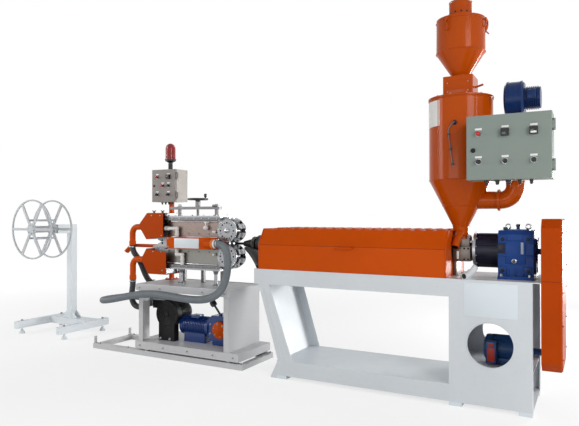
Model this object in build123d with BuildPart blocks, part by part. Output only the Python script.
from build123d import *
from math import cos, pi, radians, sin, tan
import os

os.makedirs("parts", exist_ok=True)

# Corrugated hose extrusion line, in millimetres: extruder with drying hopper at the right,
# corrugator on floor rails in the middle, hose winder at the left.
# X runs along the line, Y across it and Z up from the floor.
# Stations along the line count from the left edge of the gearbox pedestal.

# Whole line
axis_height = 990.0
overrun = 20.0
seat_gap = 0.3
sheet = 6.0
thin_sheet = 4.0

# Extruder frame
frame_depth = 570.0
frame_top = 816.0
frame_foot_height = 25.0
frame_foot_size = 80.0
upper_beam_length = 1480.0
upper_beam_height = 116.0
lower_beam_length = 1278.0
lower_beam_height = 112.0
leg_width = 80.0
leg_top_inset = 40.0
leg_bottom_inset = 8.0

# Gearbox pedestal
pedestal_length = 500.0
pedestal_flange = 42.0
window_radius = 139.0
window_x = 254.0
window_z = 411.0
shelf_height = 246.0

# Main motor and belt guard
motor_radius = 122.0
motor_shaft_height = 132.0
motor_start = 70.0
motor_cowl_length = 85.0
motor_body_length = 235.0
motor_fin_depth = 9.0
motor_fin_width = 6.0
motor_fins = 22
motor_foot_width = 45.0
motor_foot_height = 16.0
motor_box_length = 110.0
motor_box_depth = 36.0
motor_box_height = 90.0
motor_cowl_share = 0.72
motor_nose_share = 0.8
motor_foot_share = 0.45
motor_foot_top_share = 0.72
motor_box_share = 0.9
shaft_radius = 19.0
guard_start = 547.0
guard_thickness = 116.0
guard_front = 281.0
guard_back = 190.0
guard_bottom = 278.0
guard_top = 1202.0
guard_corner = 55.0
guard_lip = 9.0

# Barrel, cover and die
cover_start = 19.0
cover_length = 1423.0
cover_half_width = 279.0
cover_top_half_width = 208.0
cover_ridge = 1006.0
cover_top = 1121.0
cover_notch_gap = 8.0
cover_end_hole = 118.0
barrel_radius = 55.0
band_radius = 82.0
band_length = 150.0
band_share = 0.78
bands = 6
barrel_overhang = 28.0
barrel_stand_width = 90.0
barrel_stand_depth = 120.0
barrel_stand_share = 0.92
die_flange_radius = 92.0
die_flange_length = 34.0
die_body_radius = 74.0
die_body_length = 96.0
die_cone_radius = 58.0
die_cone_tip_radius = 22.0
die_cone_length = 150.0
nozzle_radius = 10.0
nozzle_length = 90.0
handle_station = -725.0
handle_width = 118.0
handle_reach = 34.0
handle_radius = 6.0

# Feed block, lantern and gearbox
feed_length = 138.0
feed_start = -19.0
feed_half_width = 92.0
feed_half_height = 78.0
feed_stand_half_width = 60.0
lantern_radius = 112.0
lantern_flange_radius = 122.0
lantern_flange = 16.0
lantern_length = 164.0
gearbox_length = 212.0
gearbox_half_width = 150.0
gearbox_top = 1128.0
gearbox_step = 26.0
gearbox_foot = 20.0
gearbox_foot_reach = 22.0
gearbox_boss_radius = 74.0
gearbox_boss_length = 14.0
eyebolt_ring_radius = 15.0
eyebolt_wire_radius = 4.5
eyebolt_spread = 62.0
breather_radius = 11.0
breather_height = 22.0
vent_pipe_radius = 19.0
vent_pipe_wall = 3.0
vent_pipe_station = 108.0
vent_pipe_y = -252.0
vent_pipe_length = 104.0
vent_pipe_lean = 34.0

# Drying hopper and vacuum loader
hopper_x = 20.0
neck_radius = 52.0
neck_flange_radius = 74.0
neck_flange = 12.0
cone_bottom = 1150.0
cone_top = 1464.0
hopper_radius = 212.0
hopper_top = 2018.0
hopper_lid_thickness = 10.0
hopper_lid_overhang = 5.0
gate_width = 197.0
gate_depth = 200.0
gate_height = 142.0
gate_lever_reach = 52.0
gate_lever_radius = 7.0
loader_throat_radius = 60.0
loader_collar_height = 14.0
loader_cone_top = 2342.0
loader_radius = 163.0
loader_top = 2560.0
loader_lid_thickness = 9.0
loader_cap_radius = 77.0
loader_cap_top = 2695.0
drain_spout_radius = 20.0
drain_spout_length = 120.0
duct_radius = 59.0
duct_drop = 137.0
duct_x = 372.0
duct_bend = 92.0
duct_top = 1874.0
duct_flange = 13.0
duct_flange_width = 8.0
blower_z = 1990.0
blower_radius = 116.0
blower_width = 120.0
blower_motor_radius = 70.0
blower_motor_length = 96.0

# Control cabinet on the hopper
cabinet_left = 137.0
cabinet_width = 480.0
cabinet_bottom = 1441.0
cabinet_height = 390.0
cabinet_front = -412.0
cabinet_depth = 186.0
cabinet_wall = 5.0
cabinet_door_thickness = 18.0
cabinet_door_gap = 5.5
cabinet_bracket_width = 60.0
arm_share = 0.62
button_radius = 15.0
button_reach = 14.0
meter_size = 44.0
instrument_column_shares = (0.15, 0.47, 0.80)
instrument_row_shares = (0.28, 0.72)
hinge_reach = 12.0
hinge_radius = 7.0
pin_radius = 3.5
knuckle_height = 44.0
lug_height = 12.0
hinge_shares = (0.2, 0.8)
hinge_play = 0.4

# Corrugator base
rail_left = -3260.0
rail_right = -1617.0
rail_half_gauge = 220.0
rail_width = 50.0
rail_height = 45.0
rail_wall = 5.0
rail_stop_height = 62.0
rail_stop_thickness = 12.0
tray_left = -2735.0
tray_right = -1650.0
tray_half_depth = 250.0
tray_bottom = 60.0
tray_height = 65.0
wheel_radius = 34.0
wheel_width = 24.0
wheel_inset = 110.0
table_left = -2722.0
table_right = -1735.0
table_half_depth = 256.0
table_top = 625.0
table_skirt = 55.0
bulkhead_y = 30.0
bulkhead_radius = 27.0
corner_post_width = 46.0
corner_post_depth = 130.0
corner_post_inset = 18.0

# Mould chains and tracks
sprocket_right = -1880.0
sprocket_left = -2600.0
chain_radius = 107.7
block_height = 46.0
block_half_width = 44.0
cavity_radius = 16.0
block_count = 40
block_gap = 3.0
turn_sink = 1.5
run_share = 0.4
band_thickness = 10.0
disc_radius = 97.0
disc_thickness = 10.0
disc_gap = 4.0
disc_hub_radius = 26.0
disc_hub_reach = 4.0
disc_hole_radius = 5.0
disc_hole_circle = 66.0
disc_holes = 8
axle_radius = 22.0
track_left = -2530.0
track_right = -1940.0
track_plate = 12.0
track_plate_gap = 5.0
track_height = 158.0
track_roof = 12.0
track_roof_gap = 6.0
track_rail_left = -2560.0
track_rail_depth = 30.0
track_rail_height = 26.0
track_bar_radius = 7.0
track_bar_inset = 40.0
track_bar_rises = (78.0, -61.0)
blade_reach = 170.0
blade_tip_rise = 36.0
blade_tip_height = 12.0
blade_root_gap = 12.0
track_foot_stations = (-2367.0, -1991.0)
track_foot_radius = 26.0
track_foot_neck_radius = 15.0
track_foot_flange = 10.0

# End covers, air ducts and exit chute
end_cover_overhang = 204.0
end_cover_shift = 34.0
end_cover_width = 277.0
end_cover_half_depth = 128.0
end_cover_near = {"lower": 60.0, "upper": 22.0}
end_cover_rise = {"lower": 71.0, "upper": 44.0}
end_cover_round = 24.0
upper_cover_shares = ((1.0, 1.0), (0.33, 1.0), (0.0, 0.58), (0.05, 0.39), (0.30, 0.0), (1.0, 0.10))
lower_cover_shares = ((1.0, 1.0), (0.26, 1.0), (0.0, 0.52), (0.0, 0.34), (0.18, 0.0), (1.0, 0.12))
cover_rest_length = 26.0
air_duct_radius = 27.0
air_duct_wall = 3.0
air_duct_bend = 62.0
duct_reach = 142.0
upper_duct_y = -64.0
upper_duct_share = 0.46
upper_duct_drop = 170.0
lower_duct_y = -95.0
lower_duct_share = 0.45
lower_duct_drop = 190.0
duct_clamp_radius = 31.0
duct_clamp_height = 40.0
chute_radius = 30.0
chute_wall = 4.0
chute_right = -2712.0
chute_bend_reach = 293.0
chute_end_reach = 80.0
chute_end_drop = 66.0
chute_bend = 90.0

# Air manifold
manifold_left = -2457.0
manifold_right = -1950.0
manifold_half_height = 50.0
manifold_front = 160.0
manifold_depth = 52.0
manifold_clamp_width = 52.0
manifold_clamp_inset = 130.0
boss_radius = 36.0
boss_length = 76.0
hose_radius = 31.0
spigot_length = 34.0
spigot_wall = 4.0

# Water pipes, valve and fittings
water_radius = 15.0
water_elbow_radius = 19.0
water_left = -2530.0
water_drop = -2403.0
water_right = -2343.0
water_top_rise = 14.0
water_bend_rise = 3.0
valve_station = -2092.0
valve_rise = 22.0
valve_radius = 20.0
fitting_station = -2005.0
fitting_drop = 12.0
fitting_radius = 15.0

# Lift bridge, pillars and handwheel
bridge_left = -2528.0
bridge_right = -1998.0
bridge_half_depth = 32.0
bridge_thickness = 24.0
bridge_rise = 80.0
column_radius = 17.0
column_spread = 202.0
clamp_lever_length = 58.0
clamp_lever_radius = 11.0
screw_radius = 11.0
pillar_width = 30.0
pillar_right = -2048.0
pillar_pitch = 212.0
pillars = 3
wheel_station = -2240.0
handwheel_radius = 90.0
handwheel_rim = 9.0
handwheel_rise = 66.0
handwheel_hub = 22.0
handwheel_spokes = 3
rim_round_share = 0.8

# Operator box and beacon
operator_left = -2815.0
operator_width = 275.0
operator_bottom = 1352.0
operator_height = 300.0
operator_front = 50.0
operator_depth = 180.0
operator_wall = 4.0
operator_door_thickness = 16.0
operator_door_gap = 5.5
operator_button = 13.0
operator_button_shares = ((0.24, 0.77), (0.24, 0.23), (0.72, 0.23), (0.48, 0.5), (0.72, 0.5))
operator_display_shares = (0.72, 0.77)
post_inset = 44.0
post_half_width = 18.0
post_foot_half_width = 44.0
post_foot_height = 10.0
beacon_radius = 50.0
dome_step = 15
beacon_height = 148.0
beacon_base_height = 34.0
beacon_stem_height = 70.0
beacon_stem_radius = 20.0

# Machines under the table
air_blower_x = -2490.0
air_blower_z = 355.0
air_blower_radius = 125.0
air_blower_front = 122.0
air_blower_back = 62.0
air_blower_round = 14.0
air_blower_motor_radius = 84.0
air_blower_motor_end = 130.0
air_port_half_width = 36.0
air_port_reach = 165.0
air_port_rise = 82.0
air_port_y = -76.0
suction_port_y = 52.0
air_blower_foot = 88.0
air_blower_foot_share = 0.6
gearmotor_z = 262.0
gearmotor_radius = 78.0
gearmotor_left = -2385.0
reducer_left = -2075.0
reducer_right = -1805.0
reducer_half_width = 80.0
reducer_cut = 46.0
reducer_bottom = 160.0
reducer_top = 378.0
reducer_cap_radius = 70.0
reducer_cap_reach = 22.0
lever_offset = 26.0
lever_length = 78.0
lever_lean_share = 0.82
lever_radius = 8.0
lever_knob_radius = 26.0
lever_knob_thickness = 40.0

# Winder
winder_left = -4435.0
winder_right = -3798.0
winder_bar_front = -195.0
winder_bar_back = 440.0
winder_bar_width = 50.0
winder_bar_height = 72.0
winder_bar_bottom = 58.0
winder_foot_front = -121.0
winder_foot_back = 375.0
winder_foot_radius = 30.0
winder_foot_top_radius = 9.0
winder_cross_width = 130.0
winder_post_x = -4152.0
winder_post_y = 275.0
winder_post_width = 72.0
reel_height = 1087.0
reel_radius = 300.0
rim_width = 14.0
rim_thickness = 14.0
front_rim_y = -223.0
rear_rim_y = 17.0
spoke_width = 26.0
spokes = 6
reel_hub_radius = 34.0
reel_shaft_radius = 16.0
reel_boss_share = 0.6
core_bar_circle = 105.0
core_bar_radius = 10.0
head_half_width = 46.0

# Whole line placed with its middle over the origin
line_right = guard_start + guard_thickness
line_left = min(winder_left - winder_foot_radius, winder_post_x - reel_radius)
line_back = winder_bar_back
line_front = cabinet_front - button_reach
zero_x = -(line_left + line_right) / 2
zero_y = -(line_front + line_back) / 2
frame_half = frame_depth / 2


def spot(x, y, z):
    """A place on the line as a point of the part."""
    return (zero_x + x, zero_y + y, z)


def block(x_ends, y_ends, z_ends, mode=Mode.ADD):
    """A box between two values along each direction."""
    middle = [(a + b) / 2 for a, b in (x_ends, y_ends, z_ends)]
    size = [b - a for a, b in (x_ends, y_ends, z_ends)]
    with Locations(spot(*middle)):
        Box(*size, mode=mode)


def rod(start, end, radius, mode=Mode.ADD):
    """A round bar from one place to another."""
    run = Vector(*end) - Vector(*start)
    with BuildSketch(Plane(origin=spot(*start), z_dir=run)) as section:
        Circle(radius)
    extrude(section.sketch, amount=run.length, mode=mode)


def pipe(start, end, radius, wall):
    """A straight tube from one place to another."""
    run = Vector(*end) - Vector(*start)
    with BuildSketch(Plane(origin=spot(*start), z_dir=run)) as section:
        Circle(radius)
        Circle(radius - wall, mode=Mode.SUBTRACT)
    extrude(section.sketch, amount=run.length)


def turned(x, y, outline, mode=Mode.ADD):
    """A form turned about a vertical axis, from (radius, height) points."""
    plane = Plane(origin=spot(x, y, 0), x_dir=(1, 0, 0), z_dir=(0, -1, 0))
    with BuildSketch(plane) as profile:
        with BuildLine():
            Polyline(*outline, close=True)
        make_face()
    revolve(profile.sketch, axis=Axis(spot(x, y, 0), (0, 0, 1)), mode=mode)


def turned_along(y, z, outline):
    """A form turned about an axis along the line, from (station, radius) points."""
    plane = Plane(origin=spot(0, y, z), x_dir=(1, 0, 0), z_dir=(0, -1, 0))
    with BuildSketch(plane) as profile:
        with BuildLine():
            Polyline(*outline, close=True)
        make_face()
    revolve(profile.sketch, axis=Axis(spot(0, y, z), (1, 0, 0)))


def save(builder, label):
    """Name a finished piece and write it."""
    builder.part.label = label
    export_step(builder.part, f"parts/{label}.step")


# Extruder feet under the pedestal and the left end of the lower beam
foot_stations = (
    frame_foot_size / 2,
    pedestal_length - frame_foot_size / 2,
    frame_foot_size / 2 - lower_beam_length,
)
with BuildPart() as extruder_feet:
    for station in foot_stations:
        for side in (-1, 1):
            middle = side * (frame_half - frame_foot_size / 2)
            block(
                (station - frame_foot_size / 2, station + frame_foot_size / 2),
                (middle - frame_foot_size / 2, middle + frame_foot_size / 2),
                (0, frame_foot_height),
            )
save(extruder_feet, "extruder_feet")

# Lower beam, a deep tray turned upside down
lower_beam_top = frame_foot_height + lower_beam_height
with BuildPart() as lower_beam:
    block((-lower_beam_length, 0), (-frame_half, frame_half), (frame_foot_height, lower_beam_top))
    block(
        (sheet - lower_beam_length, overrun),
        (sheet - frame_half, frame_half - sheet),
        (frame_foot_height - overrun, lower_beam_top - sheet),
        mode=Mode.SUBTRACT,
    )
save(lower_beam, "lower_beam")

# Upper beam that carries the barrel
upper_beam_bottom = frame_top - upper_beam_height
with BuildPart() as upper_beam:
    block((-upper_beam_length, 0), (-frame_half, frame_half), (upper_beam_bottom, frame_top))
    block(
        (sheet - upper_beam_length, overrun),
        (sheet - frame_half, frame_half - sheet),
        (upper_beam_bottom - overrun, frame_top - sheet),
        mode=Mode.SUBTRACT,
    )
save(upper_beam, "upper_beam")

# Leaning left leg, a wide channel open towards the pedestal
leg_top_x = leg_top_inset - upper_beam_length
leg_bottom_x = leg_bottom_inset - lower_beam_length
leg_outline = (
    (leg_bottom_x, lower_beam_top),
    (leg_bottom_x + leg_width, lower_beam_top),
    (leg_top_x + leg_width, upper_beam_bottom),
    (leg_top_x, upper_beam_bottom),
)
leg_hollow = (
    (leg_bottom_x + sheet, lower_beam_top),
    (leg_bottom_x + leg_width, lower_beam_top),
    (leg_top_x + leg_width, upper_beam_bottom),
    (leg_top_x + sheet, upper_beam_bottom),
)
with BuildPart() as inclined_leg:
    with BuildSketch(Plane(origin=spot(0, frame_half, 0), x_dir=(1, 0, 0), z_dir=(0, -1, 0))):
        with BuildLine():
            Polyline(*leg_outline, close=True)
        make_face()
    extrude(amount=frame_depth)
    hollow_plane = Plane(origin=spot(0, frame_half - sheet, 0), x_dir=(1, 0, 0), z_dir=(0, -1, 0))
    with BuildSketch(hollow_plane):
        with BuildLine():
            Polyline(*leg_hollow, close=True)
        make_face()
    extrude(amount=frame_depth - 2 * sheet, mode=Mode.SUBTRACT)
save(inclined_leg, "inclined_leg")

# Pedestal: front and back sheets with a round window, left sheet, top and floor
for label, side in (("pedestal_front", -1), ("pedestal_back", 1)):
    with BuildPart() as pedestal_face:
        face_y = sorted((side * frame_half, side * (frame_half - sheet)))
        flange_y = sorted((side * (frame_half - sheet), side * (frame_half - pedestal_flange)))
        block((0, pedestal_length), face_y, (frame_foot_height, frame_top))
        flange_z = (frame_foot_height + sheet, frame_top - sheet)
        block((pedestal_length - sheet, pedestal_length), flange_y, flange_z)
        rod(
            (window_x, side * (frame_half + overrun), window_z),
            (window_x, side * (frame_half - pedestal_flange), window_z),
            window_radius,
            mode=Mode.SUBTRACT,
        )
    save(pedestal_face, label)

# Pedestal body: left sheet, top, floor and the motor shelf, with an open vent pipe on the top
inside_half = frame_half - sheet
inside_y = (-inside_half, inside_half)
lean_x = vent_pipe_length * sin(radians(vent_pipe_lean))
lean_z = vent_pipe_length * cos(radians(vent_pipe_lean))
with BuildPart() as pedestal_body:
    pipe(
        (vent_pipe_station - lean_x / 2, vent_pipe_y, frame_top - lean_z / 2),
        (vent_pipe_station + lean_x, vent_pipe_y, frame_top + lean_z),
        vent_pipe_radius,
        vent_pipe_wall,
    )
    block(
        (vent_pipe_station - vent_pipe_length, vent_pipe_station + vent_pipe_length),
        (vent_pipe_y - vent_pipe_length, vent_pipe_y + vent_pipe_length),
        (frame_top - vent_pipe_length, frame_top),
        mode=Mode.SUBTRACT,
    )
    block((0, sheet), inside_y, (frame_foot_height, frame_top))
    block((0, guard_start), inside_y, (frame_top - sheet, frame_top))
    block((0, pedestal_length), inside_y, (frame_foot_height, frame_foot_height + sheet))
    block((0, pedestal_length - sheet), inside_y, (shelf_height - sheet, shelf_height))
save(pedestal_body, "pedestal_body")

# Main motor with fan cowl, cooling fins, terminal box, feet and shaft
motor_z = shelf_height + motor_shaft_height
motor_cowl_end = motor_start + motor_cowl_length
motor_body_end = motor_cowl_end + motor_body_length
motor_core = motor_radius - motor_fin_depth
with BuildPart() as main_motor:
    turned_along(
        0,
        motor_z,
        (
            (motor_start, 0),
            (motor_start, motor_radius * motor_cowl_share),
            (motor_start + motor_fin_depth * 2, motor_radius),
            (motor_cowl_end, motor_radius),
            (motor_cowl_end, motor_core),
            (motor_body_end, motor_core),
            (motor_body_end + motor_fin_depth, motor_core * motor_nose_share),
            (motor_body_end + motor_fin_depth, shaft_radius),
            (guard_start, shaft_radius),
            (guard_start, 0),
        ),
    )
    fin_plane = Plane(origin=spot(motor_cowl_end, 0, motor_z), x_dir=(0, 1, 0), z_dir=(1, 0, 0))
    with BuildSketch(fin_plane):
        with PolarLocations((motor_core + motor_radius) / 2 - motor_fin_depth / 2, motor_fins):
            Rectangle(2 * motor_fin_depth, motor_fin_width)
    extrude(amount=motor_body_length)
    for side in (-1, 1):
        foot_inner = motor_radius * motor_foot_share
        foot_y = sorted((side * foot_inner, side * (foot_inner + motor_foot_width)))
        foot_top = motor_z - motor_core * motor_foot_top_share
        block((motor_cowl_end, motor_body_end), foot_y, (shelf_height, foot_top))
    box_middle = (motor_cowl_end + motor_body_end) / 2
    block(
        (box_middle - motor_box_length / 2, box_middle + motor_box_length / 2),
        (-motor_radius - motor_box_depth, -motor_core * motor_box_share),
        (motor_z - motor_box_height / 2, motor_z + motor_box_height / 2),
    )
save(main_motor, "main_motor")

# Belt guard with cut corners and a proud rim round its outer face
guard_outline = (
    (-guard_front, guard_bottom + guard_corner),
    (-guard_front + guard_corner, guard_bottom),
    (guard_back - guard_corner, guard_bottom),
    (guard_back, guard_bottom + guard_corner),
    (guard_back, guard_top - guard_corner),
    (guard_back - guard_corner, guard_top),
    (-guard_front + guard_corner, guard_top),
    (-guard_front, guard_top - guard_corner),
)
with BuildPart() as belt_guard:
    guard_plane = Plane(origin=spot(guard_start, 0, 0), x_dir=(0, 1, 0), z_dir=(1, 0, 0))
    with BuildSketch(guard_plane):
        with BuildLine():
            Polyline(*guard_outline, close=True)
        make_face()
    extrude(amount=guard_thickness)
    outer_edges = belt_guard.faces().sort_by(Axis.X)[-1].edges()
    chamfer(outer_edges, guard_lip)
save(belt_guard, "belt_guard")

# Barrel cover, a ridged sheet hood on the upper beam, with a handle in front
handle_y = thin_sheet / 2 - cover_half_width
handle_z = cover_ridge - handle_radius * 2
cover_left = -cover_start - cover_length
cover_outline = (
    (-cover_half_width, frame_top),
    (cover_half_width, frame_top),
    (cover_half_width, cover_ridge),
    (cover_top_half_width, cover_top),
    (-cover_top_half_width, cover_top),
    (-cover_half_width, cover_ridge),
)
cover_hollow = (
    (thin_sheet - cover_half_width, frame_top - overrun),
    (cover_half_width - thin_sheet, frame_top - overrun),
    (cover_half_width - thin_sheet, cover_ridge),
    (cover_top_half_width - thin_sheet, cover_top - thin_sheet),
    (thin_sheet - cover_top_half_width, cover_top - thin_sheet),
    (thin_sheet - cover_half_width, cover_ridge),
)
with BuildPart() as barrel_cover:
    with BuildSketch(Plane(origin=spot(cover_left, 0, 0), x_dir=(0, 1, 0), z_dir=(1, 0, 0))):
        with BuildLine():
            Polyline(*cover_outline, close=True)
        make_face()
    extrude(amount=cover_length)
    with BuildSketch(Plane(origin=spot(cover_left + thin_sheet, 0, 0), x_dir=(0, 1, 0), z_dir=(1, 0, 0))):
        with BuildLine():
            Polyline(*cover_hollow, close=True)
        make_face()
    extrude(amount=cover_length - 2 * thin_sheet, mode=Mode.SUBTRACT)
    rod((cover_left - overrun, 0, axis_height), (overrun, 0, axis_height), cover_end_hole, mode=Mode.SUBTRACT)
    rod(
        (hopper_x, 0, axis_height),
        (hopper_x, 0, cover_top + overrun),
        neck_flange_radius + cover_notch_gap,
        mode=Mode.SUBTRACT,
    )
    with BuildLine() as handle_line:
        FilletPolyline(
            spot(handle_station - handle_width / 2, handle_y, handle_z),
            spot(handle_station - handle_width / 2, handle_y - handle_reach, handle_z),
            spot(handle_station + handle_width / 2, handle_y - handle_reach, handle_z),
            spot(handle_station + handle_width / 2, handle_y, handle_z),
            radius=handle_reach / 2,
        )
    with BuildSketch(Plane(origin=handle_line.line @ 0, z_dir=handle_line.line % 0)):
        Circle(handle_radius)
    sweep()
save(barrel_cover, "barrel_cover")

# Barrel with its heater bands and a stand near the die
barrel_left = cover_left - barrel_overhang
barrel_right = feed_start
band_pitch = (barrel_right - barrel_left - band_length) / bands
stand_x = cover_left + barrel_stand_width
barrel_outline = [(barrel_left, 0), (barrel_left, barrel_radius)]
for index in range(bands):
    band_start = barrel_left + band_length / 2 + band_pitch * index + band_pitch * (1 - band_share) / 2
    band_end = band_start + band_pitch * band_share
    barrel_outline += [
        (band_start, barrel_radius),
        (band_start, band_radius),
        (band_end, band_radius),
        (band_end, barrel_radius),
    ]
barrel_outline += [(barrel_right, barrel_radius), (barrel_right, 0)]
with BuildPart() as barrel:
    turned_along(0, axis_height, barrel_outline)
    block(
        (stand_x, stand_x + barrel_stand_width / 2),
        (-barrel_stand_depth / 2, barrel_stand_depth / 2),
        (frame_top, axis_height - barrel_radius * barrel_stand_share / 2),
    )
save(barrel, "barrel")

# Die head: flange, body, cone and the slender nozzle that points into the moulds
die_right = barrel_left
die_flange_left = die_right - die_flange_length
die_body_left = die_flange_left - die_body_length
die_cone_left = die_body_left - die_cone_length
nozzle_left = die_cone_left - nozzle_length
with BuildPart() as die_head:
    turned_along(
        0,
        axis_height,
        (
            (die_right, 0),
            (die_right, die_flange_radius),
            (die_flange_left, die_flange_radius),
            (die_flange_left, die_body_radius),
            (die_body_left, die_body_radius),
            (die_body_left, die_cone_radius),
            (die_cone_left, die_cone_tip_radius),
            (die_cone_left, nozzle_radius),
            (nozzle_left, nozzle_radius),
            (nozzle_left, 0),
        ),
    )
save(die_head, "die_head")

# Feed block on its stand
feed_end = feed_start + feed_length
feed_top = axis_height + feed_half_height
with BuildPart() as feed_block:
    block(
        (feed_start, feed_end),
        (-feed_half_width, feed_half_width),
        (axis_height - feed_half_height, feed_top),
    )
    block(
        (feed_start + sheet, feed_end - sheet),
        (-feed_stand_half_width, feed_stand_half_width),
        (frame_top, axis_height),
    )
    chamfer(feed_block.edges().filter_by(Axis.X).group_by(Axis.Z)[-1], sheet)
save(feed_block, "feed_block")

# Gearbox lantern, an open drum with four windows
lantern_end = feed_end + lantern_length
with BuildPart() as gearbox_lantern:
    turned_along(
        0,
        axis_height,
        (
            (feed_end, 0),
            (feed_end, lantern_flange_radius),
            (feed_end + lantern_flange, lantern_flange_radius),
            (feed_end + lantern_flange, lantern_radius),
            (lantern_end - lantern_flange, lantern_radius),
            (lantern_end - lantern_flange, lantern_flange_radius),
            (lantern_end, lantern_flange_radius),
            (lantern_end, 0),
        ),
    )
save(gearbox_lantern, "gearbox_lantern")

# Gearbox housing with foot, bevelled top, end boss, input shaft and breather
gearbox_end = lantern_end + gearbox_length
with BuildPart() as gearbox:
    gearbox_outline = (
        (-gearbox_half_width - gearbox_foot_reach, frame_top),
        (gearbox_half_width + gearbox_foot_reach, frame_top),
        (gearbox_half_width + gearbox_foot_reach, frame_top + gearbox_foot),
        (gearbox_half_width, frame_top + gearbox_foot),
        (gearbox_half_width, gearbox_top - gearbox_step),
        (gearbox_half_width - gearbox_step, gearbox_top),
        (gearbox_step - gearbox_half_width, gearbox_top),
        (-gearbox_half_width, gearbox_top - gearbox_step),
        (-gearbox_half_width, frame_top + gearbox_foot),
        (-gearbox_half_width - gearbox_foot_reach, frame_top + gearbox_foot),
    )
    with BuildSketch(Plane(origin=spot(lantern_end, 0, 0), x_dir=(0, 1, 0), z_dir=(1, 0, 0))):
        with BuildLine():
            Polyline(*gearbox_outline, close=True)
        make_face()
    extrude(amount=gearbox_length)
    boss_end = gearbox_end + gearbox_boss_length
    rod((gearbox_end, 0, axis_height), (boss_end, 0, axis_height), gearbox_boss_radius)
    rod((gearbox_end, 0, axis_height), (guard_start, 0, axis_height), shaft_radius)
    gearbox_middle = (lantern_end + gearbox_end) / 2
    rod(
        (gearbox_middle, 0, gearbox_top),
        (gearbox_middle, 0, gearbox_top + breather_height),
        breather_radius,
    )
save(gearbox, "gearbox")

# Lifting eyes on the gearbox
ring_z = gearbox_top + eyebolt_ring_radius + eyebolt_wire_radius * 2
with BuildPart() as gearbox_eyebolts:
    for side in (-1, 1):
        bolt_x = gearbox_middle + side * eyebolt_spread
        with Locations(Plane(origin=spot(bolt_x, 0, ring_z), z_dir=(0, 1, 0)).location):
            Torus(eyebolt_ring_radius, eyebolt_wire_radius)
        rod((bolt_x, 0, gearbox_top), (bolt_x, 0, ring_z - eyebolt_ring_radius), eyebolt_wire_radius * 2)
save(gearbox_eyebolts, "gearbox_eyebolts")

# Hopper neck with its flange and drain spout
with BuildPart() as hopper_neck:
    turned(
        hopper_x,
        0,
        (
            (0, feed_top),
            (neck_flange_radius, feed_top),
            (neck_flange_radius, feed_top + neck_flange),
            (neck_radius, feed_top + neck_flange),
            (neck_radius, cone_bottom),
            (0, cone_bottom),
        ),
    )
    rod(
        (hopper_x, 0, (feed_top + cone_bottom) / 2),
        (hopper_x - drain_spout_radius / 2, -drain_spout_length, feed_top + drain_spout_radius),
        drain_spout_radius,
    )
save(hopper_neck, "hopper_neck")

# Drying hopper, a cylinder on a cone, open at both ends
with BuildPart() as drying_hopper:
    turned(
        hopper_x,
        0,
        (
            (neck_radius, cone_bottom),
            (hopper_radius, cone_top),
            (hopper_radius, hopper_top),
            (hopper_radius - thin_sheet, hopper_top),
            (hopper_radius - thin_sheet, cone_top),
            (neck_radius - thin_sheet, cone_bottom),
        ),
    )
save(drying_hopper, "drying_hopper")

hopper_lid_top = hopper_top + hopper_lid_thickness
with BuildPart() as hopper_lid:
    turned(
        hopper_x,
        0,
        (
            (0, hopper_top),
            (hopper_radius + hopper_lid_overhang, hopper_top),
            (hopper_radius + hopper_lid_overhang, hopper_lid_top),
            (0, hopper_lid_top),
        ),
    )
save(hopper_lid, "hopper_lid")

# Gate box with its lever
gate_top = hopper_lid_top + gate_height
gate_right = hopper_x + gate_width / 2
gate_middle_z = (hopper_lid_top + gate_top) / 2
with BuildPart() as gate_box:
    block(
        (gate_right - gate_width, gate_right),
        (-gate_depth / 2, gate_depth / 2),
        (hopper_lid_top, gate_top),
    )
    chamfer(gate_box.edges().filter_by(Axis.Z), sheet)
    rod(
        (gate_right, 0, gate_middle_z),
        (gate_right + gate_lever_reach, 0, gate_middle_z + gate_lever_radius * 2),
        gate_lever_radius,
    )
save(gate_box, "gate_box")

# Vacuum loader shell on the gate box
with BuildPart() as vacuum_loader:
    turned(
        hopper_x,
        0,
        (
            (loader_throat_radius, gate_top),
            (loader_throat_radius, gate_top + loader_collar_height),
            (loader_radius, loader_cone_top),
            (loader_radius, loader_top),
            (loader_radius - thin_sheet, loader_top),
            (loader_radius - thin_sheet, loader_cone_top),
            (loader_throat_radius - thin_sheet, gate_top + loader_collar_height),
            (loader_throat_radius - thin_sheet, gate_top),
        ),
    )
save(vacuum_loader, "vacuum_loader")

with BuildPart() as loader_lid:
    turned(
        hopper_x,
        0,
        (
            (0, loader_top),
            (loader_radius, loader_top),
            (loader_radius, loader_top + loader_lid_thickness),
            (loader_cap_radius, loader_top + loader_lid_thickness),
            (loader_cap_radius, loader_cap_top - loader_lid_thickness),
            (loader_cap_radius - loader_lid_thickness, loader_cap_top),
            (0, loader_cap_top),
        ),
    )
save(loader_lid, "loader_lid")

# Hot air duct from the cone of the hopper round an elbow and up to the blower
duct_height = cone_top - duct_drop
with BuildPart() as dryer_duct:
    with BuildLine() as duct_line:
        FilletPolyline(
            spot(hopper_x, 0, duct_height),
            spot(duct_x, 0, duct_height),
            spot(duct_x, 0, duct_top),
            radius=duct_bend,
        )
    with BuildSketch(Plane(origin=duct_line.line @ 0, z_dir=duct_line.line % 0)):
        Circle(duct_radius)
    sweep()
    turned(
        hopper_x,
        0,
        (
            (0, cone_bottom),
            (neck_radius + seat_gap, cone_bottom),
            (hopper_radius + seat_gap, cone_top),
            (0, cone_top),
        ),
        mode=Mode.SUBTRACT,
    )
    flange_start = duct_x - duct_bend - duct_flange_width * 2
    rod(
        (flange_start, 0, duct_height),
        (flange_start + duct_flange_width * 2, 0, duct_height),
        duct_radius + duct_flange,
    )
save(dryer_duct, "dryer_duct")

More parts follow.
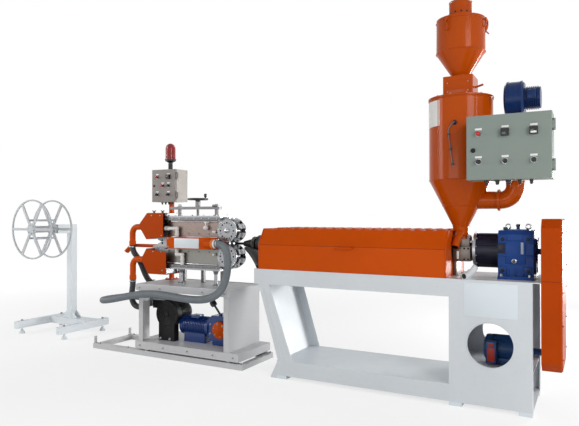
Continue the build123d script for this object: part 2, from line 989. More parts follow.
# Dryer blower: a round volute on the duct with its motor to the right
blower_left = duct_x - blower_width / 2
blower_right = duct_x + blower_width / 2
with BuildPart() as dryer_blower:
    turned_along(
        0,
        blower_z,
        (
            (blower_left, 0),
            (blower_left, blower_radius - duct_flange),
            (blower_left + duct_flange, blower_radius),
            (blower_right - duct_flange, blower_radius),
            (blower_right, blower_radius - duct_flange),
            (blower_right, blower_motor_radius),
            (blower_right + blower_motor_length, blower_motor_radius),
            (blower_right + blower_motor_length, 0),
        ),
    )
    rod((duct_x, 0, duct_top), (duct_x, 0, blower_z), duct_radius)
save(dryer_blower, "dryer_blower")

# Control cabinet: an open box, its door on two hinges at the right
cabinet_right = cabinet_left + cabinet_width
cabinet_top = cabinet_bottom + cabinet_height
cabinet_mouth = cabinet_front + cabinet_door_thickness + cabinet_door_gap
cabinet_back = cabinet_front + cabinet_depth


def hinge_lugs(right, mouth, bottom, height):
    """Fixed lugs and pins of a door hinged at its right edge."""
    for share in hinge_shares:
        middle = bottom + height * share
        for side in (-1, 1):
            lug_z = middle + side * (knuckle_height + lug_height + hinge_play * 2) / 2
            lug_ends = (lug_z - lug_height / 2, lug_z + lug_height / 2)
            block((right, right + hinge_reach), (mouth, mouth + hinge_radius * 3), lug_ends)
            rod(
                (right + hinge_reach, mouth, lug_ends[0]),
                (right + hinge_reach, mouth, lug_ends[1]),
                hinge_radius,
            )
        half = knuckle_height / 2 + lug_height
        rod(
            (right + hinge_reach, mouth, middle - half),
            (right + hinge_reach, mouth, middle + half),
            pin_radius,
        )


def hinge_knuckles(right, mouth, gap, bottom, height):
    """Knuckles of a door, bored for the pins."""
    for share in hinge_shares:
        middle = bottom + height * share
        ends = (middle - knuckle_height / 2, middle + knuckle_height / 2)
        block(
            (right - hinge_reach, right + hinge_reach),
            (mouth - gap - hinge_radius, mouth - gap),
            ends,
        )
        rod((right + hinge_reach, mouth, ends[0]), (right + hinge_reach, mouth, ends[1]), hinge_radius)
        rod(
            (right + hinge_reach, mouth, ends[0] - overrun),
            (right + hinge_reach, mouth, ends[1] + overrun),
            pin_radius + hinge_play,
            mode=Mode.SUBTRACT,
        )


with BuildPart() as control_cabinet:
    block((cabinet_left, cabinet_right), (cabinet_mouth, cabinet_back), (cabinet_bottom, cabinet_top))
    block(
        (cabinet_left + cabinet_wall, cabinet_right - cabinet_wall),
        (cabinet_mouth - overrun, cabinet_back - cabinet_wall),
        (cabinet_bottom + cabinet_wall, cabinet_top - cabinet_wall),
        mode=Mode.SUBTRACT,
    )
    hinge_lugs(cabinet_right, cabinet_mouth, cabinet_bottom, cabinet_height)
save(control_cabinet, "control_cabinet")

# Arms that carry the cabinet from the hopper
arm_x = hopper_x + hopper_radius * arm_share
with BuildPart() as cabinet_arms:
    for share in hinge_shares:
        arm_z = cabinet_bottom + cabinet_height * share
        block(
            (arm_x, arm_x + cabinet_bracket_width),
            (cabinet_back, 0),
            (arm_z - cabinet_bracket_width / 2, arm_z + cabinet_bracket_width / 2),
        )
    turned(
        hopper_x,
        0,
        (
            (0, cone_top - overrun),
            (hopper_radius + seat_gap, cone_top - overrun),
            (hopper_radius + seat_gap, hopper_top),
            (0, hopper_top),
        ),
        mode=Mode.SUBTRACT,
    )
save(cabinet_arms, "cabinet_arms")

with BuildPart() as control_cabinet_door:
    block(
        (cabinet_left, cabinet_right),
        (cabinet_front, cabinet_front + cabinet_door_thickness),
        (cabinet_bottom, cabinet_top),
    )
    fillet(control_cabinet_door.edges().filter_by(Axis.Z).group_by(Axis.Y)[0], cabinet_wall)
    hinge_knuckles(cabinet_right, cabinet_mouth, cabinet_door_gap, cabinet_bottom, cabinet_height)
save(control_cabinet_door, "control_cabinet_door")

# Lamp, meters and knobs on the cabinet door
with BuildPart() as cabinet_instruments:
    for column, column_share in enumerate(instrument_column_shares):
        for row, row_share in enumerate(instrument_row_shares):
            place_x = cabinet_left + cabinet_width * column_share
            place_z = cabinet_bottom + cabinet_height * row_share
            if row == 1 and column > 0:
                block(
                    (place_x - meter_size / 2, place_x + meter_size / 2),
                    (cabinet_front - button_reach / 2, cabinet_front),
                    (place_z - meter_size / 2, place_z + meter_size / 2),
                )
            else:
                button_end = (place_x, cabinet_front - button_reach, place_z)
                rod((place_x, cabinet_front, place_z), button_end, button_radius)
save(cabinet_instruments, "cabinet_instruments")

# Floor rails, two channels tied at their ends, with stops at the left
with BuildPart() as floor_rails:
    for side in (-1, 1):
        middle = side * rail_half_gauge
        block(
            (rail_left, rail_right),
            (middle - rail_width / 2, middle + rail_width / 2),
            (0, rail_height),
        )
        block(
            (rail_left, rail_left + rail_stop_thickness),
            (middle - rail_width / 4, middle + rail_width / 4),
            (rail_height, rail_height + rail_stop_height),
        )
    for end in (rail_left, rail_right - rail_width):
        block((end, end + rail_width), (-rail_half_gauge, rail_half_gauge), (0, rail_height - rail_wall))
save(floor_rails, "floor_rails")

# Corrugator tray with its four track wheels
tray_top = tray_bottom + tray_height
wheel_z = rail_height + seat_gap + wheel_radius
with BuildPart() as corrugator_tray:
    block((tray_left, tray_right), (-tray_half_depth, tray_half_depth), (tray_bottom, tray_top))
    block(
        (tray_left + sheet, tray_right - sheet),
        (sheet - tray_half_depth, tray_half_depth - sheet),
        (tray_bottom - overrun, tray_top - sheet),
        mode=Mode.SUBTRACT,
    )
    for station in (tray_left + wheel_inset, tray_right - wheel_inset):
        for side in (-1, 1):
            inner = side * (rail_half_gauge - wheel_width / 2)
            axle_end = side * (tray_half_depth - sheet / 2)
            rod((station, inner, wheel_z), (station, inner + side * wheel_width, wheel_z), wheel_radius)
            rod((station, inner, wheel_z), (station, axle_end, wheel_z), wheel_radius / 3)
save(corrugator_tray, "corrugator_tray")

# Stand between the tray and the table: angle posts, closed towards the extruder
post_left = table_left + corner_post_inset
post_right = table_right - corner_post_inset
post_depth = table_half_depth - corner_post_inset
table_bottom = table_top - table_skirt
with BuildPart() as corrugator_stand:
    for end, turn in ((post_left, 1), (post_right, -1)):
        for side in (-1, 1):
            edge = side * post_depth
            block(
                sorted((end, end + turn * corner_post_width)),
                sorted((edge, edge - side * sheet)),
                (tray_top, table_top - sheet),
            )
            block(
                sorted((end, end + turn * sheet)),
                sorted((edge, edge - side * corner_post_depth)),
                (tray_top, table_top - sheet),
            )
    block(
        (post_right - sheet, post_right),
        (-post_depth, post_depth),
        (tray_top, table_top - sheet),
    )
save(corrugator_stand, "corrugator_stand")

# Table top with a folded skirt and a hose spigot at its left
bulkhead_z = table_top - table_skirt / 2
with BuildPart() as corrugator_table:
    block((table_left, table_right), (-table_half_depth, table_half_depth), (table_bottom, table_top))
    block(
        (table_left + sheet, table_right - sheet),
        (sheet - table_half_depth, table_half_depth - sheet),
        (table_bottom - overrun, table_top - sheet),
        mode=Mode.SUBTRACT,
    )
    bulkhead_end = (table_left - spigot_length, bulkhead_y, bulkhead_z)
    rod((table_left, bulkhead_y, bulkhead_z), bulkhead_end, bulkhead_radius)
save(corrugator_table, "corrugator_table")

# Mould block, half a corrugation cavity in its outer face, standing on the chain band
chain_center = {
    "lower": axis_height - chain_radius - seat_gap,
    "upper": axis_height + chain_radius + seat_gap,
}
chain_run = sprocket_right - sprocket_left
run_blocks = round(block_count * run_share)
turn_blocks = block_count // 2 - run_blocks
block_pitch = chain_run / run_blocks
block_length = block_pitch - block_gap
base_radius = chain_radius - block_height
with BuildPart() as mould_block:
    with BuildSketch(Plane(origin=(-block_length / 2, 0, 0), x_dir=(0, 1, 0), z_dir=(1, 0, 0))):
        with Locations((0, chain_radius - block_height / 2 - block_gap / 2)):
            Rectangle(block_half_width * 2, block_height + block_gap)
        with Locations((0, chain_radius)):
            Circle(cavity_radius, mode=Mode.SUBTRACT)
    extrude(amount=block_length)

# Mould chains, each one closed loop of blocks on a band
for label in ("lower", "upper"):
    center_z = chain_center[label]
    middle_x = (sprocket_left + sprocket_right) / 2
    with BuildPart() as mould_chain:
        band_origin = spot(middle_x, block_half_width, center_z)
        with BuildSketch(Plane(origin=band_origin, x_dir=(1, 0, 0), z_dir=(0, -1, 0))):
            SlotCenterToCenter(chain_run, base_radius * 2)
            SlotCenterToCenter(chain_run, (base_radius - band_thickness) * 2, mode=Mode.SUBTRACT)
        extrude(amount=block_half_width * 2)
        places = []
        for index in range(run_blocks):
            station = sprocket_left + block_pitch * (index + 1 / 2)
            places.append(Location(spot(station, 0, center_z), (0, 0, 0)))
            places.append(Location(spot(station, 0, center_z), (180, 0, 0)))
        for index in range(turn_blocks):
            angle = 180 / turn_blocks * (index + 1 / 2)
            sink = Location((0, 0, -turn_sink))
            places.append(Location(spot(sprocket_right, 0, center_z), (0, angle, 0)) * sink)
            places.append(Location(spot(sprocket_left, 0, center_z), (0, -angle, 0)) * sink)
        with Locations(*places):
            add(mould_block.part)
    save(mould_chain, f"{label}_mould_chain")

# Tracks: side plates under a roof plate with edge rails, polished bars, exit blades and sprocket arms
plate_inner = block_half_width + track_plate_gap
plate_outer = plate_inner + track_plate
rail_outer = plate_outer + track_rail_depth
bar_y = plate_outer + track_bar_radius / 2
roof_far = {}
for label, up in (("lower", -1), ("upper", 1)):
    center_z = chain_center[label]
    roof_near = center_z + up * (chain_radius + track_roof_gap)
    roof_far[label] = roof_near + up * track_roof
    cover_rest = center_z + up * (chain_radius + end_cover_rise[label] - thin_sheet - seat_gap)
    plate_near = center_z - up * track_height / 2
    blade_outline = (
        (track_left + track_plate, axis_height + up * blade_root_gap),
        (track_left - blade_reach, axis_height + up * blade_tip_rise),
        (track_left - blade_reach, axis_height + up * (blade_tip_rise + blade_tip_height)),
        (track_left + track_plate, plate_near + up * track_plate),
    )
    with BuildPart() as track:
        block((track_rail_left, track_right), (-rail_outer, rail_outer), sorted((roof_near, roof_far[label])))
        block(
            (track_rail_left, track_rail_left + cover_rest_length),
            (-rail_outer, rail_outer),
            sorted((roof_far[label], cover_rest)),
        )
        for side in (-1, 1):
            plate_y = sorted((side * plate_inner, side * plate_outer))
            rail_y = sorted((side * plate_outer, side * rail_outer))
            block((track_left, track_right), plate_y, sorted((plate_near, roof_near)))
            rail_z = sorted((roof_near, roof_near - up * track_rail_height))
            block((track_rail_left, track_right), rail_y, rail_z)
            block(
                (sprocket_left - axle_radius * 2, sprocket_right + axle_radius * 2),
                plate_y,
                (center_z - axle_radius * 2, center_z + axle_radius * 2),
            )
            for rise in track_bar_rises:
                bar_z = center_z + up * rise
                rod(
                    (track_left, side * bar_y, bar_z),
                    (track_right - track_bar_inset, side * bar_y, bar_z),
                    track_bar_radius,
                )
            blade_plane = Plane(origin=spot(0, plate_y[1], 0), x_dir=(1, 0, 0), z_dir=(0, -1, 0))
            with BuildSketch(blade_plane):
                with BuildLine():
                    Polyline(*blade_outline, close=True)
                make_face()
            extrude(amount=track_plate)
        for station in (sprocket_left, sprocket_right):
            rod(
                (station, -rail_outer - overrun, center_z),
                (station, rail_outer + overrun, center_z),
                axle_radius + seat_gap,
                mode=Mode.SUBTRACT,
            )
        if label == "lower":
            for station in track_foot_stations:
                turned(
                    station,
                    -(plate_outer + rail_outer) / 2,
                    (
                        (0, table_top),
                        (track_foot_radius, table_top),
                        (track_foot_radius, table_top + track_foot_flange),
                        (track_foot_neck_radius, table_top + track_foot_flange * 2),
                        (track_foot_neck_radius, roof_far[label] - track_foot_flange * 3),
                        (track_foot_radius, roof_far[label]),
                        (0, roof_far[label]),
                    ),
                )
    save(track, f"{label}_track")

# Sprockets inside the chains, on axles that carry the discs outside
disc_inner = plate_outer + disc_gap
with BuildPart() as sprocket_discs:
    for center_z in chain_center.values():
        rod(
            (sprocket_right, -disc_inner - disc_thickness, center_z),
            (sprocket_right, disc_inner + disc_thickness, center_z),
            axle_radius,
        )
        rod((sprocket_left, -plate_outer, center_z), (sprocket_left, plate_outer, center_z), axle_radius)
        for station in (sprocket_left, sprocket_right):
            rod(
                (station, -block_half_width, center_z),
                (station, block_half_width, center_z),
                base_radius - band_thickness - seat_gap,
            )
        for side in (-1, 1):
            face = side * disc_inner
            disc_end = (sprocket_right, face + side * disc_thickness, center_z)
            rod((sprocket_right, face, center_z), disc_end, disc_radius)
            hub_face = face + side * (disc_thickness + disc_hub_reach)
            rod((sprocket_right, face, center_z), (sprocket_right, hub_face, center_z), disc_hub_radius)
    for center_z in chain_center.values():
        hole_plane = Plane(
            origin=spot(sprocket_right, disc_inner + disc_thickness + overrun, center_z),
            x_dir=(1, 0, 0),
            z_dir=(0, -1, 0),
        )
        with BuildSketch(hole_plane):
            with PolarLocations(disc_hole_circle, disc_holes, start_angle=180 / disc_holes):
                Circle(disc_hole_radius)
        extrude(amount=2 * (disc_inner + disc_thickness + overrun), mode=Mode.SUBTRACT)
save(sprocket_discs, "sprocket_discs")

# End covers over the left turns of the chains
cover_lefts = {}
cover_ends = {}
for label, up in (("lower", -1), ("upper", 1)):
    shares = lower_cover_shares if label == "lower" else upper_cover_shares
    left = sprocket_left - end_cover_overhang + (end_cover_shift if label == "lower" else 0)
    near = axis_height + up * end_cover_near[label]
    far = chain_center[label] + up * (chain_radius + end_cover_rise[label])
    cover_lefts[label] = left
    cover_ends[label] = (near, far)
    outline = [(left + end_cover_width * a, near + (far - near) * b) for a, b in shares]
    inner_far = far - up * thin_sheet
    inner_left = left + thin_sheet
    open_right = left + end_cover_width + overrun
    open_near = near - up * overrun
    hollow = [(inner_left + end_cover_width * a, near + (inner_far - near) * b) for a, b in shares[1:-1]]
    hollow += [(hollow[-1][0], open_near), (open_right, open_near), (open_right, inner_far)]
    inner_depth = end_cover_half_depth - thin_sheet
    with BuildPart() as end_cover:
        cover_origin = spot(0, end_cover_half_depth, 0)
        with BuildSketch(Plane(origin=cover_origin, x_dir=(1, 0, 0), z_dir=(0, -1, 0))) as shell:
            with BuildLine():
                Polyline(*outline, close=True)
            make_face()
            corners = shell.vertices().sort_by(Axis.X)[:-2]
            fillet([corner for corner in corners if up * (corner.Y - near) > seat_gap], end_cover_round)
        extrude(amount=end_cover_half_depth * 2)
        with BuildSketch(Plane(origin=spot(0, inner_depth, 0), x_dir=(1, 0, 0), z_dir=(0, -1, 0))) as room:
            with BuildLine():
                Polyline(*hollow, close=True)
            make_face()
            corners = room.vertices().sort_by(Axis.X)[:-2]
            fillet([corner for corner in corners if up * (corner.Y - near) > seat_gap], end_cover_round)
        extrude(amount=inner_depth * 2, mode=Mode.SUBTRACT)
    save(end_cover, f"{label}_end_cover")


def bent_tube(points, bend, radius, wall):
    """A tube along straight runs joined by arcs."""
    with BuildLine() as line:
        FilletPolyline(*[spot(*point) for point in points], radius=bend)
    with BuildSketch(Plane(origin=line.line @ 0, z_dir=line.line % 0)) as section:
        Circle(radius)
        Circle(radius - wall, mode=Mode.SUBTRACT)
    sweep(section.sketch, path=line.line)


# Air manifold in front of the parting line, clamped to the track plates, with a boss for the hose
manifold_back = manifold_depth - manifold_front
boss_y = -manifold_front - boss_radius / 2
boss_left = manifold_right - boss_length
spigot_end = manifold_right + spigot_length
with BuildPart() as air_manifold:
    block(
        (manifold_left, manifold_right),
        (-manifold_front, manifold_back),
        (axis_height - manifold_half_height, axis_height + manifold_half_height),
    )
    fillet(air_manifold.edges().filter_by(Axis.X), sheet)
    for station in (manifold_left + manifold_clamp_inset, manifold_right - manifold_clamp_inset):
        block(
            (station - manifold_clamp_width / 2, station + manifold_clamp_width / 2),
            (manifold_back, -bar_y - track_bar_radius - seat_gap),
            (axis_height + blade_tip_rise, axis_height + manifold_half_height),
        )
    rod((boss_left, boss_y, axis_height), (manifold_right, boss_y, axis_height), boss_radius)
    rod((manifold_right, boss_y, axis_height), (spigot_end, boss_y, axis_height), hose_radius - spigot_wall)
save(air_manifold, "air_manifold")

# Air ducts, one from each end cover, and the open chute that the hose leaves by
duct_left = {}
duct_z = {}
duct_end = {}
duct_rows = (
    ("upper", upper_duct_y, upper_duct_share, upper_duct_drop),
    ("lower", lower_duct_y, lower_duct_share, lower_duct_drop),
)
chute_z = cover_ends["lower"][0] + seat_gap + chute_radius
chute_bend_x = chute_right - chute_bend_reach
with BuildPart() as air_ducts:
    for label, duct_y, share, drop in duct_rows:
        near, far = cover_ends[label]
        duct_z[label] = near + (far - near) * share
        duct_left[label] = cover_lefts[label] - duct_reach
        duct_end[label] = duct_z[label] - drop
        bent_tube(
            (
                (cover_lefts[label], duct_y, duct_z[label]),
                (duct_left[label], duct_y, duct_z[label]),
                (duct_left[label], duct_y, duct_end[label]),
            ),
            air_duct_bend,
            air_duct_radius,
            air_duct_wall,
        )
        pipe(
            (duct_left[label], duct_y, duct_end[label]),
            (duct_left[label], duct_y, duct_end[label] + duct_clamp_height),
            duct_clamp_radius,
            duct_clamp_radius - air_duct_radius + air_duct_wall,
        )
    with BuildLine() as chute_line:
        FilletPolyline(
            spot(chute_right, 0, chute_z),
            spot(chute_bend_x, 0, chute_z),
            spot(chute_bend_x - chute_end_reach, 0, chute_z - chute_end_drop),
            radius=chute_bend,
        )
    with BuildSketch(Plane(origin=chute_line.line @ 0, x_dir=(0, 1, 0), z_dir=(-1, 0, 0))) as gutter:
        Circle(chute_radius)
        Circle(chute_radius - chute_wall, mode=Mode.SUBTRACT)
        with Locations((0, -chute_radius)):
            Rectangle(chute_radius * 2, chute_radius * 2, mode=Mode.SUBTRACT)
    sweep(gutter.sketch, path=chute_line.line)
save(air_ducts, "air_ducts")

# Lift frame: pillars behind both tracks, and the bridge on two columns with the lifting screw between
bridge_bottom = roof_far["upper"] + bridge_rise - bridge_thickness
bridge_top = roof_far["upper"] + bridge_rise
handwheel_height = bridge_top + handwheel_rise
hub_bottom = handwheel_height - handwheel_hub
with BuildPart() as lift_frame:
    for index in range(pillars):
        pillar_x = pillar_right - pillar_pitch * index
        block(
            (pillar_x - pillar_width / 2, pillar_x + pillar_width / 2),
            (rail_outer, rail_outer + pillar_width),
            (table_top, roof_far["upper"]),
        )
    for station in (wheel_station - column_spread, wheel_station + column_spread):
        rod((station, 0, roof_far["upper"]), (station, 0, bridge_top + column_radius / 2), column_radius)
    block((bridge_left, bridge_right), (-bridge_half_depth, bridge_half_depth), (bridge_bottom, bridge_top))
    fillet(lift_frame.edges().filter_by(Axis.Z).group_by(Axis.X)[-1], bridge_thickness)
    rod(
        (bridge_right - clamp_lever_length, -bridge_half_depth, bridge_top + clamp_lever_radius / 2),
        (bridge_right, -bridge_half_depth, bridge_top + clamp_lever_radius / 2),
        clamp_lever_radius,
    )
    rod((wheel_station, 0, roof_far["upper"]), (wheel_station, 0, bridge_bottom), screw_radius)
    rod((wheel_station, 0, bridge_top), (wheel_station, 0, hub_bottom - seat_gap), handwheel_hub)
save(lift_frame, "lift_frame")

# Handwheel of the lifting screw
with BuildPart() as handwheel:
    with BuildSketch(Plane(origin=spot(wheel_station, 0, handwheel_height - handwheel_rim))):
        Circle(handwheel_radius)
        Circle(handwheel_radius - handwheel_rim * 2, mode=Mode.SUBTRACT)
        with PolarLocations(handwheel_radius / 2, handwheel_spokes):
            Rectangle(handwheel_radius - handwheel_rim * 2, handwheel_rim * 2)
        Circle(handwheel_hub)
    extrude(amount=handwheel_rim * 2)
    rim_edges = handwheel.edges().filter_by(GeomType.CIRCLE).sort_by(SortBy.RADIUS)[-2:]
    fillet(rim_edges, handwheel_rim * rim_round_share)
    rod((wheel_station, 0, hub_bottom), (wheel_station, 0, handwheel_height), handwheel_hub)
save(handwheel, "handwheel")

# Operator post, box with hinged door, and beacon
operator_right = operator_left + operator_width
operator_top = operator_bottom + operator_height
operator_mouth = operator_front + operator_door_thickness + operator_door_gap
operator_back = operator_front + operator_depth
post_y = (operator_mouth + operator_back) / 2 + post_half_width
post_x = table_left + post_inset
with BuildPart() as control_post:
    block(
        (post_x - post_foot_half_width, post_x + post_foot_half_width),
        (post_y - post_foot_half_width, post_y + post_foot_half_width),
        (table_top, table_top + post_foot_height),
    )
    block(
        (post_x - post_half_width, post_x + post_half_width),
        (post_y - post_half_width, post_y + post_half_width),
        (table_top, operator_bottom),
    )
    fillet(control_post.edges().filter_by(Axis.Z), operator_wall)
save(control_post, "control_post")

with BuildPart() as operator_box:
    block((operator_left, operator_right), (operator_mouth, operator_back), (operator_bottom, operator_top))
    block(
        (operator_left + operator_wall, operator_right - operator_wall),
        (operator_mouth - overrun, operator_back - operator_wall),
        (operator_bottom + operator_wall, operator_top - operator_wall),
        mode=Mode.SUBTRACT,
    )
    hinge_lugs(operator_right, operator_mouth, operator_bottom, operator_height)
save(operator_box, "operator_box")

with BuildPart() as operator_box_door:
    block(
        (operator_left, operator_right),
        (operator_front, operator_front + operator_door_thickness),
        (operator_bottom, operator_top),
    )
    fillet(operator_box_door.edges().filter_by(Axis.Z).group_by(Axis.Y)[0], operator_wall)
    hinge_knuckles(operator_right, operator_mouth, operator_door_gap, operator_bottom, operator_height)
save(operator_box_door, "operator_box_door")

with BuildPart() as operator_instruments:
    for column_share, row_share in operator_button_shares:
        place_x = operator_left + operator_width * column_share
        place_z = operator_bottom + operator_height * row_share
        button_end = (place_x, operator_front - button_reach, place_z)
        rod((place_x, operator_front, place_z), button_end, operator_button)
    display_x = operator_left + operator_width * operator_display_shares[0]
    display_z = operator_bottom + operator_height * operator_display_shares[1]
    block(
        (display_x - meter_size / 2, display_x + meter_size / 2),
        (operator_front - button_reach / 2, operator_front),
        (display_z - meter_size / 2, display_z + meter_size / 2),
    )
save(operator_instruments, "operator_instruments")

beacon_x = post_x
beacon_y = (operator_mouth + operator_back) / 2
beacon_bottom = operator_top + beacon_stem_height + beacon_base_height
with BuildPart() as beacon_base:
    turned(
        beacon_x,
        beacon_y,
        (
            (0, operator_top),
            (beacon_stem_radius, operator_top),
            (beacon_stem_radius, operator_top + beacon_stem_height),
            (beacon_radius, operator_top + beacon_stem_height + beacon_base_height / 2),
            (beacon_radius, beacon_bottom),
            (0, beacon_bottom),
        ),
    )
save(beacon_base, "beacon_base")

beacon_dome_radius = beacon_radius - operator_wall
dome_straight = beacon_height - beacon_radius
dome_outline = [(0, beacon_bottom), (beacon_dome_radius, beacon_bottom)]
for angle in range(0, 90, dome_step):
    dome_outline.append((
        beacon_dome_radius * cos(radians(angle)),
        beacon_bottom + dome_straight + (beacon_height - dome_straight) * sin(radians(angle)),
    ))
dome_outline.append((0, beacon_bottom + beacon_height))
with BuildPart() as beacon_dome:
    turned(beacon_x, beacon_y, dome_outline)
save(beacon_dome, "beacon_dome")

# Water pipes with elbows in front of the plates, a valve and two fittings
water_y = -bar_y - track_bar_radius - seat_gap - water_radius
water_top = chain_center["upper"] + water_top_rise
water_bend = chain_center["lower"] + water_bend_rise
water_foot = chain_center["lower"] - chain_radius - track_roof_gap + track_rail_height + seat_gap
with BuildPart() as water_pipes:
    route = (
        (water_left, -plate_outer, water_top),
        (water_left, water_y, water_top),
        (water_drop, water_y, water_top),
        (water_drop, water_y, water_bend),
        (water_right, water_y, water_bend),
        (water_right, water_y, water_foot),
    )
    for start, end in zip(route, route[1:]):
        rod(start, end, water_radius)
    for point in route[1:-1]:
        with Locations(spot(*point)):
            Sphere(water_elbow_radius)
    taps = (
        (valve_station, chain_center["upper"] + valve_rise, valve_radius),
        (fitting_station, chain_center["upper"] - fitting_drop, fitting_radius),
        (fitting_station, chain_center["lower"] + fitting_drop, fitting_radius),
    )
    for station, tap_z, radius in taps:
        rod((station, -plate_outer, tap_z), (station, water_y, tap_z), radius / 2)
        with Locations(spot(station, water_y, tap_z)):
            Sphere(radius)
save(water_pipes, "water_pipes")

# Air blower on the tray: a flat round volute with two ports at its left and the motor behind
air_port_z = air_blower_z + air_port_rise
air_port_left = air_blower_x - air_port_reach
with BuildPart() as air_blower:
    rod(
        (air_blower_x, -air_blower_front, air_blower_z),
        (air_blower_x, -air_blower_back, air_blower_z),
        air_blower_radius,
    )
    fillet(air_blower.edges().filter_by(GeomType.CIRCLE).group_by(Axis.Y)[0], air_blower_round)
    rod(
        (air_blower_x, -air_blower_back, air_blower_z),
        (air_blower_x, air_blower_motor_end, air_blower_z),
        air_blower_motor_radius,
    )
    for port_y in (air_port_y, suction_port_y):
        block(
            (air_port_left, air_blower_x),
            (port_y - air_port_half_width, port_y + air_port_half_width),
            (air_port_z - air_port_half_width, air_port_z + air_port_half_width),
        )
    block(
        (air_blower_x - air_blower_foot, air_blower_x + air_blower_foot),
        (-air_blower_front, -air_blower_back),
        (tray_top, air_blower_z - air_blower_radius * air_blower_foot_share),
    )
save(air_blower, "air_blower")

# Chain drive: motor, reducer with cut corners and a round cap, and speed lever
reducer_x = (reducer_left + reducer_right) / 2
lever_x = reducer_x - lever_offset
lever_y = -reducer_half_width / 2
lever_tip = (lever_x - lever_length * lever_lean_share, lever_y, reducer_top + lever_length)
with BuildPart() as chain_drive:
    reducer_y = (-reducer_half_width, reducer_half_width)
    block((reducer_left, reducer_right), reducer_y, (reducer_bottom, reducer_top))
    chamfer(chain_drive.edges().filter_by(Axis.Y), reducer_cut)
    turned_along(
        0,
        gearmotor_z,
        (
            (gearmotor_left, 0),
            (gearmotor_left, gearmotor_radius - motor_fin_depth * 2),
            (gearmotor_left + motor_fin_depth * 2, gearmotor_radius),
            (reducer_left, gearmotor_radius),
            (reducer_left, 0),
        ),
    )
    block(
        (gearmotor_left + motor_foot_width, reducer_left - motor_foot_width),
        (motor_foot_height - gearmotor_radius, gearmotor_radius - motor_foot_height),
        (tray_top, gearmotor_z - gearmotor_radius / 2),
    )
    block(
        (reducer_left + reducer_cut, reducer_right - reducer_cut),
        (sheet - reducer_half_width, reducer_half_width - sheet),
        (tray_top, reducer_bottom),
    )
    rod(
        (reducer_x, -reducer_half_width, gearmotor_z),
        (reducer_x, -reducer_half_width - reducer_cap_reach, gearmotor_z),
        reducer_cap_radius,
    )
    rod((lever_x, lever_y, reducer_top), (lever_x, lever_y, reducer_top + lever_radius * 2), lever_radius * 2)
    rod((lever_x, lever_y, reducer_top), lever_tip, lever_radius)
    lean = Vector(*lever_tip) - Vector(lever_x, lever_y, reducer_top)
    knob_end = Vector(*lever_tip) + lean.normalized() * lever_knob_thickness
    rod(lever_tip, tuple(knob_end), lever_knob_radius)
save(chain_drive, "chain_drive")

# Winder base: two bars and a cross bar on four levelling feet
winder_bar_top = winder_bar_bottom + winder_bar_height
with BuildPart() as winder_base:
    for station in (winder_left, winder_right):
        block(
            (station - winder_bar_width / 2, station + winder_bar_width / 2),
            (winder_bar_front, winder_bar_back),
            (winder_bar_bottom, winder_bar_top),
        )
    block(
        (winder_left + winder_bar_width / 2, winder_right - winder_bar_width / 2),
        (winder_post_y - winder_cross_width / 2, winder_post_y + winder_cross_width / 2),
        (winder_bar_bottom, winder_bar_top),
    )
    for station in (winder_left, winder_right):
        for place in (winder_foot_front, winder_foot_back):
            turned(
                station,
                place,
                (
                    (0, 0),
                    (winder_foot_radius, 0),
                    (winder_foot_radius, winder_foot_top_radius),
                    (winder_foot_top_radius, winder_bar_bottom - winder_foot_radius / 2),
                    (winder_foot_top_radius, winder_bar_bottom),
                    (0, winder_bar_bottom),
                ),
            )
save(winder_base, "winder_base")

# Winder post with the bearing head at its top
head_front = rear_rim_y + rim_thickness / 2 + reel_hub_radius
with BuildPart() as winder_post:
    block(
        (winder_post_x - winder_post_width / 2, winder_post_x + winder_post_width / 2),
        (winder_post_y - winder_post_width / 2, winder_post_y + winder_post_width / 2),
        (winder_bar_top, reel_height + head_half_width),
    )
    block(
        (winder_post_x - head_half_width, winder_post_x + head_half_width),
        (head_front, winder_post_y - winder_post_width / 2),
        (reel_height - head_half_width, reel_height + head_half_width),
    )
    rod(
        (winder_post_x, head_front - overrun, reel_height),
        (winder_post_x, winder_post_y, reel_height),
        reel_shaft_radius + seat_gap,
        mode=Mode.SUBTRACT,
    )
save(winder_post, "winder_post")

# Reel: two spoked rims on a core that turns in the head
for label, rim_y in (("reel_front_rim", front_rim_y), ("reel_rear_rim", rear_rim_y)):
    with BuildPart() as rim:
        back = rim_y + rim_thickness / 2
        rim_origin = spot(winder_post_x, back, reel_height)
        with BuildSketch(Plane(origin=rim_origin, x_dir=(1, 0, 0), z_dir=(0, -1, 0))):
            Circle(reel_radius)
            Circle(reel_radius - rim_width, mode=Mode.SUBTRACT)
            spoke_length = reel_radius - rim_width / 2
            with PolarLocations(spoke_length / 2, spokes, start_angle=0):
                Rectangle(spoke_length, spoke_width)
            Circle(core_bar_circle * reel_boss_share)
        extrude(amount=rim_thickness)
    save(rim, label)

core_front = front_rim_y + rim_thickness / 2
core_back = rear_rim_y - rim_thickness / 2
with BuildPart() as reel_core:
    rod((winder_post_x, core_front, reel_height), (winder_post_x, core_back, reel_height), reel_hub_radius)
    for index in range(spokes):
        angle = radians(360 / spokes * index)
        bar_x = winder_post_x + core_bar_circle * cos(angle)
        bar_z = reel_height + core_bar_circle * sin(angle)
        rod((bar_x, core_front, bar_z), (bar_x, core_back, bar_z), core_bar_radius)
    rod(
        (winder_post_x, rear_rim_y + rim_thickness / 2, reel_height),
        (winder_post_x, winder_post_y - winder_post_width / 2, reel_height),
        reel_shaft_radius,
    )
save(reel_core, "reel_core")

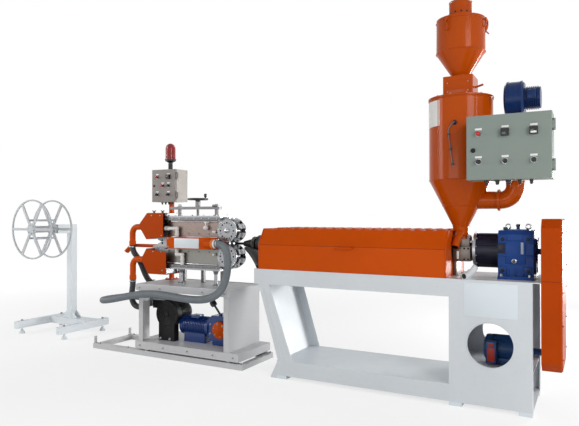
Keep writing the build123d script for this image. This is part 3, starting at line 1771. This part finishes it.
# Hoses, straight runs joined by arcs as large as the runs allow
hose_routes = {
    "vacuum_hose": (hose_radius, (
        (spigot_end, boss_y, axis_height),
        (-1868, boss_y, axis_height),
        (-1800, -208, 958),
        (-1750, -250, 888),
        (-1722, -292, 795),
        (-1726, -322, 695),
        (-1770, -338, 612),
        (-1862, -344, 562),
        (-2000, -344, 543),
        (-2190, -343, 551),
        (-2385, -342, 566),
        (-2575, -338, 557),
        (-2770, -330, 519),
        (-2960, -306, 478),
        (-3130, -250, 450),
        (-3232, -150, 436),
        (-3236, -30, 438),
        (-3140, 48, 450),
        (-2985, 66, 456),
        (-2850, 60, 447),
        (-2740, suction_port_y, air_port_z),
        (air_port_left, suction_port_y, air_port_z),
    )),
    "lower_air_hose": (air_duct_radius, (
        (duct_left["lower"], lower_duct_y, duct_end["lower"]),
        (duct_left["lower"], lower_duct_y, 580),
        (-2928, -92, 520),
        (-2932, -88, 452),
        (-2900, -84, 398),
        (-2845, -80, 385),
        (-2780, -78, 402),
        (-2712, air_port_y, air_port_z),
        (air_port_left, air_port_y, air_port_z),
    )),
    "upper_air_hose": (air_duct_radius, (
        (duct_left["upper"], upper_duct_y, duct_end["upper"]),
        (duct_left["upper"], upper_duct_y, 900),
        (-2915, -34, 840),
        (-2880, -20, 775),
        (-2864, -4, 712),
        (-2850, 16, 655),
        (-2825, 26, 616),
        (-2790, bulkhead_y, bulkhead_z),
        (table_left - spigot_length, bulkhead_y, bulkhead_z),
    )),
}
run_part_share = 0.45
for label, (radius, route) in hose_routes.items():
    points = [Vector(*spot(*point)) for point in route]
    bends = []
    for before, here, after in zip(points, points[1:], points[2:]):
        turn = (here - before).get_angle(after - here)
        shorter = min((here - before).length, (after - here).length)
        bends.append(run_part_share * shorter / tan(radians(turn / 2)))
    with BuildPart() as hose:
        with BuildLine() as hose_line:
            FilletPolyline(*points, radius=bends)
        with BuildSketch(Plane(origin=hose_line.line @ 0, z_dir=hose_line.line % 0)):
            Circle(radius)
        sweep()
    save(hose, label)
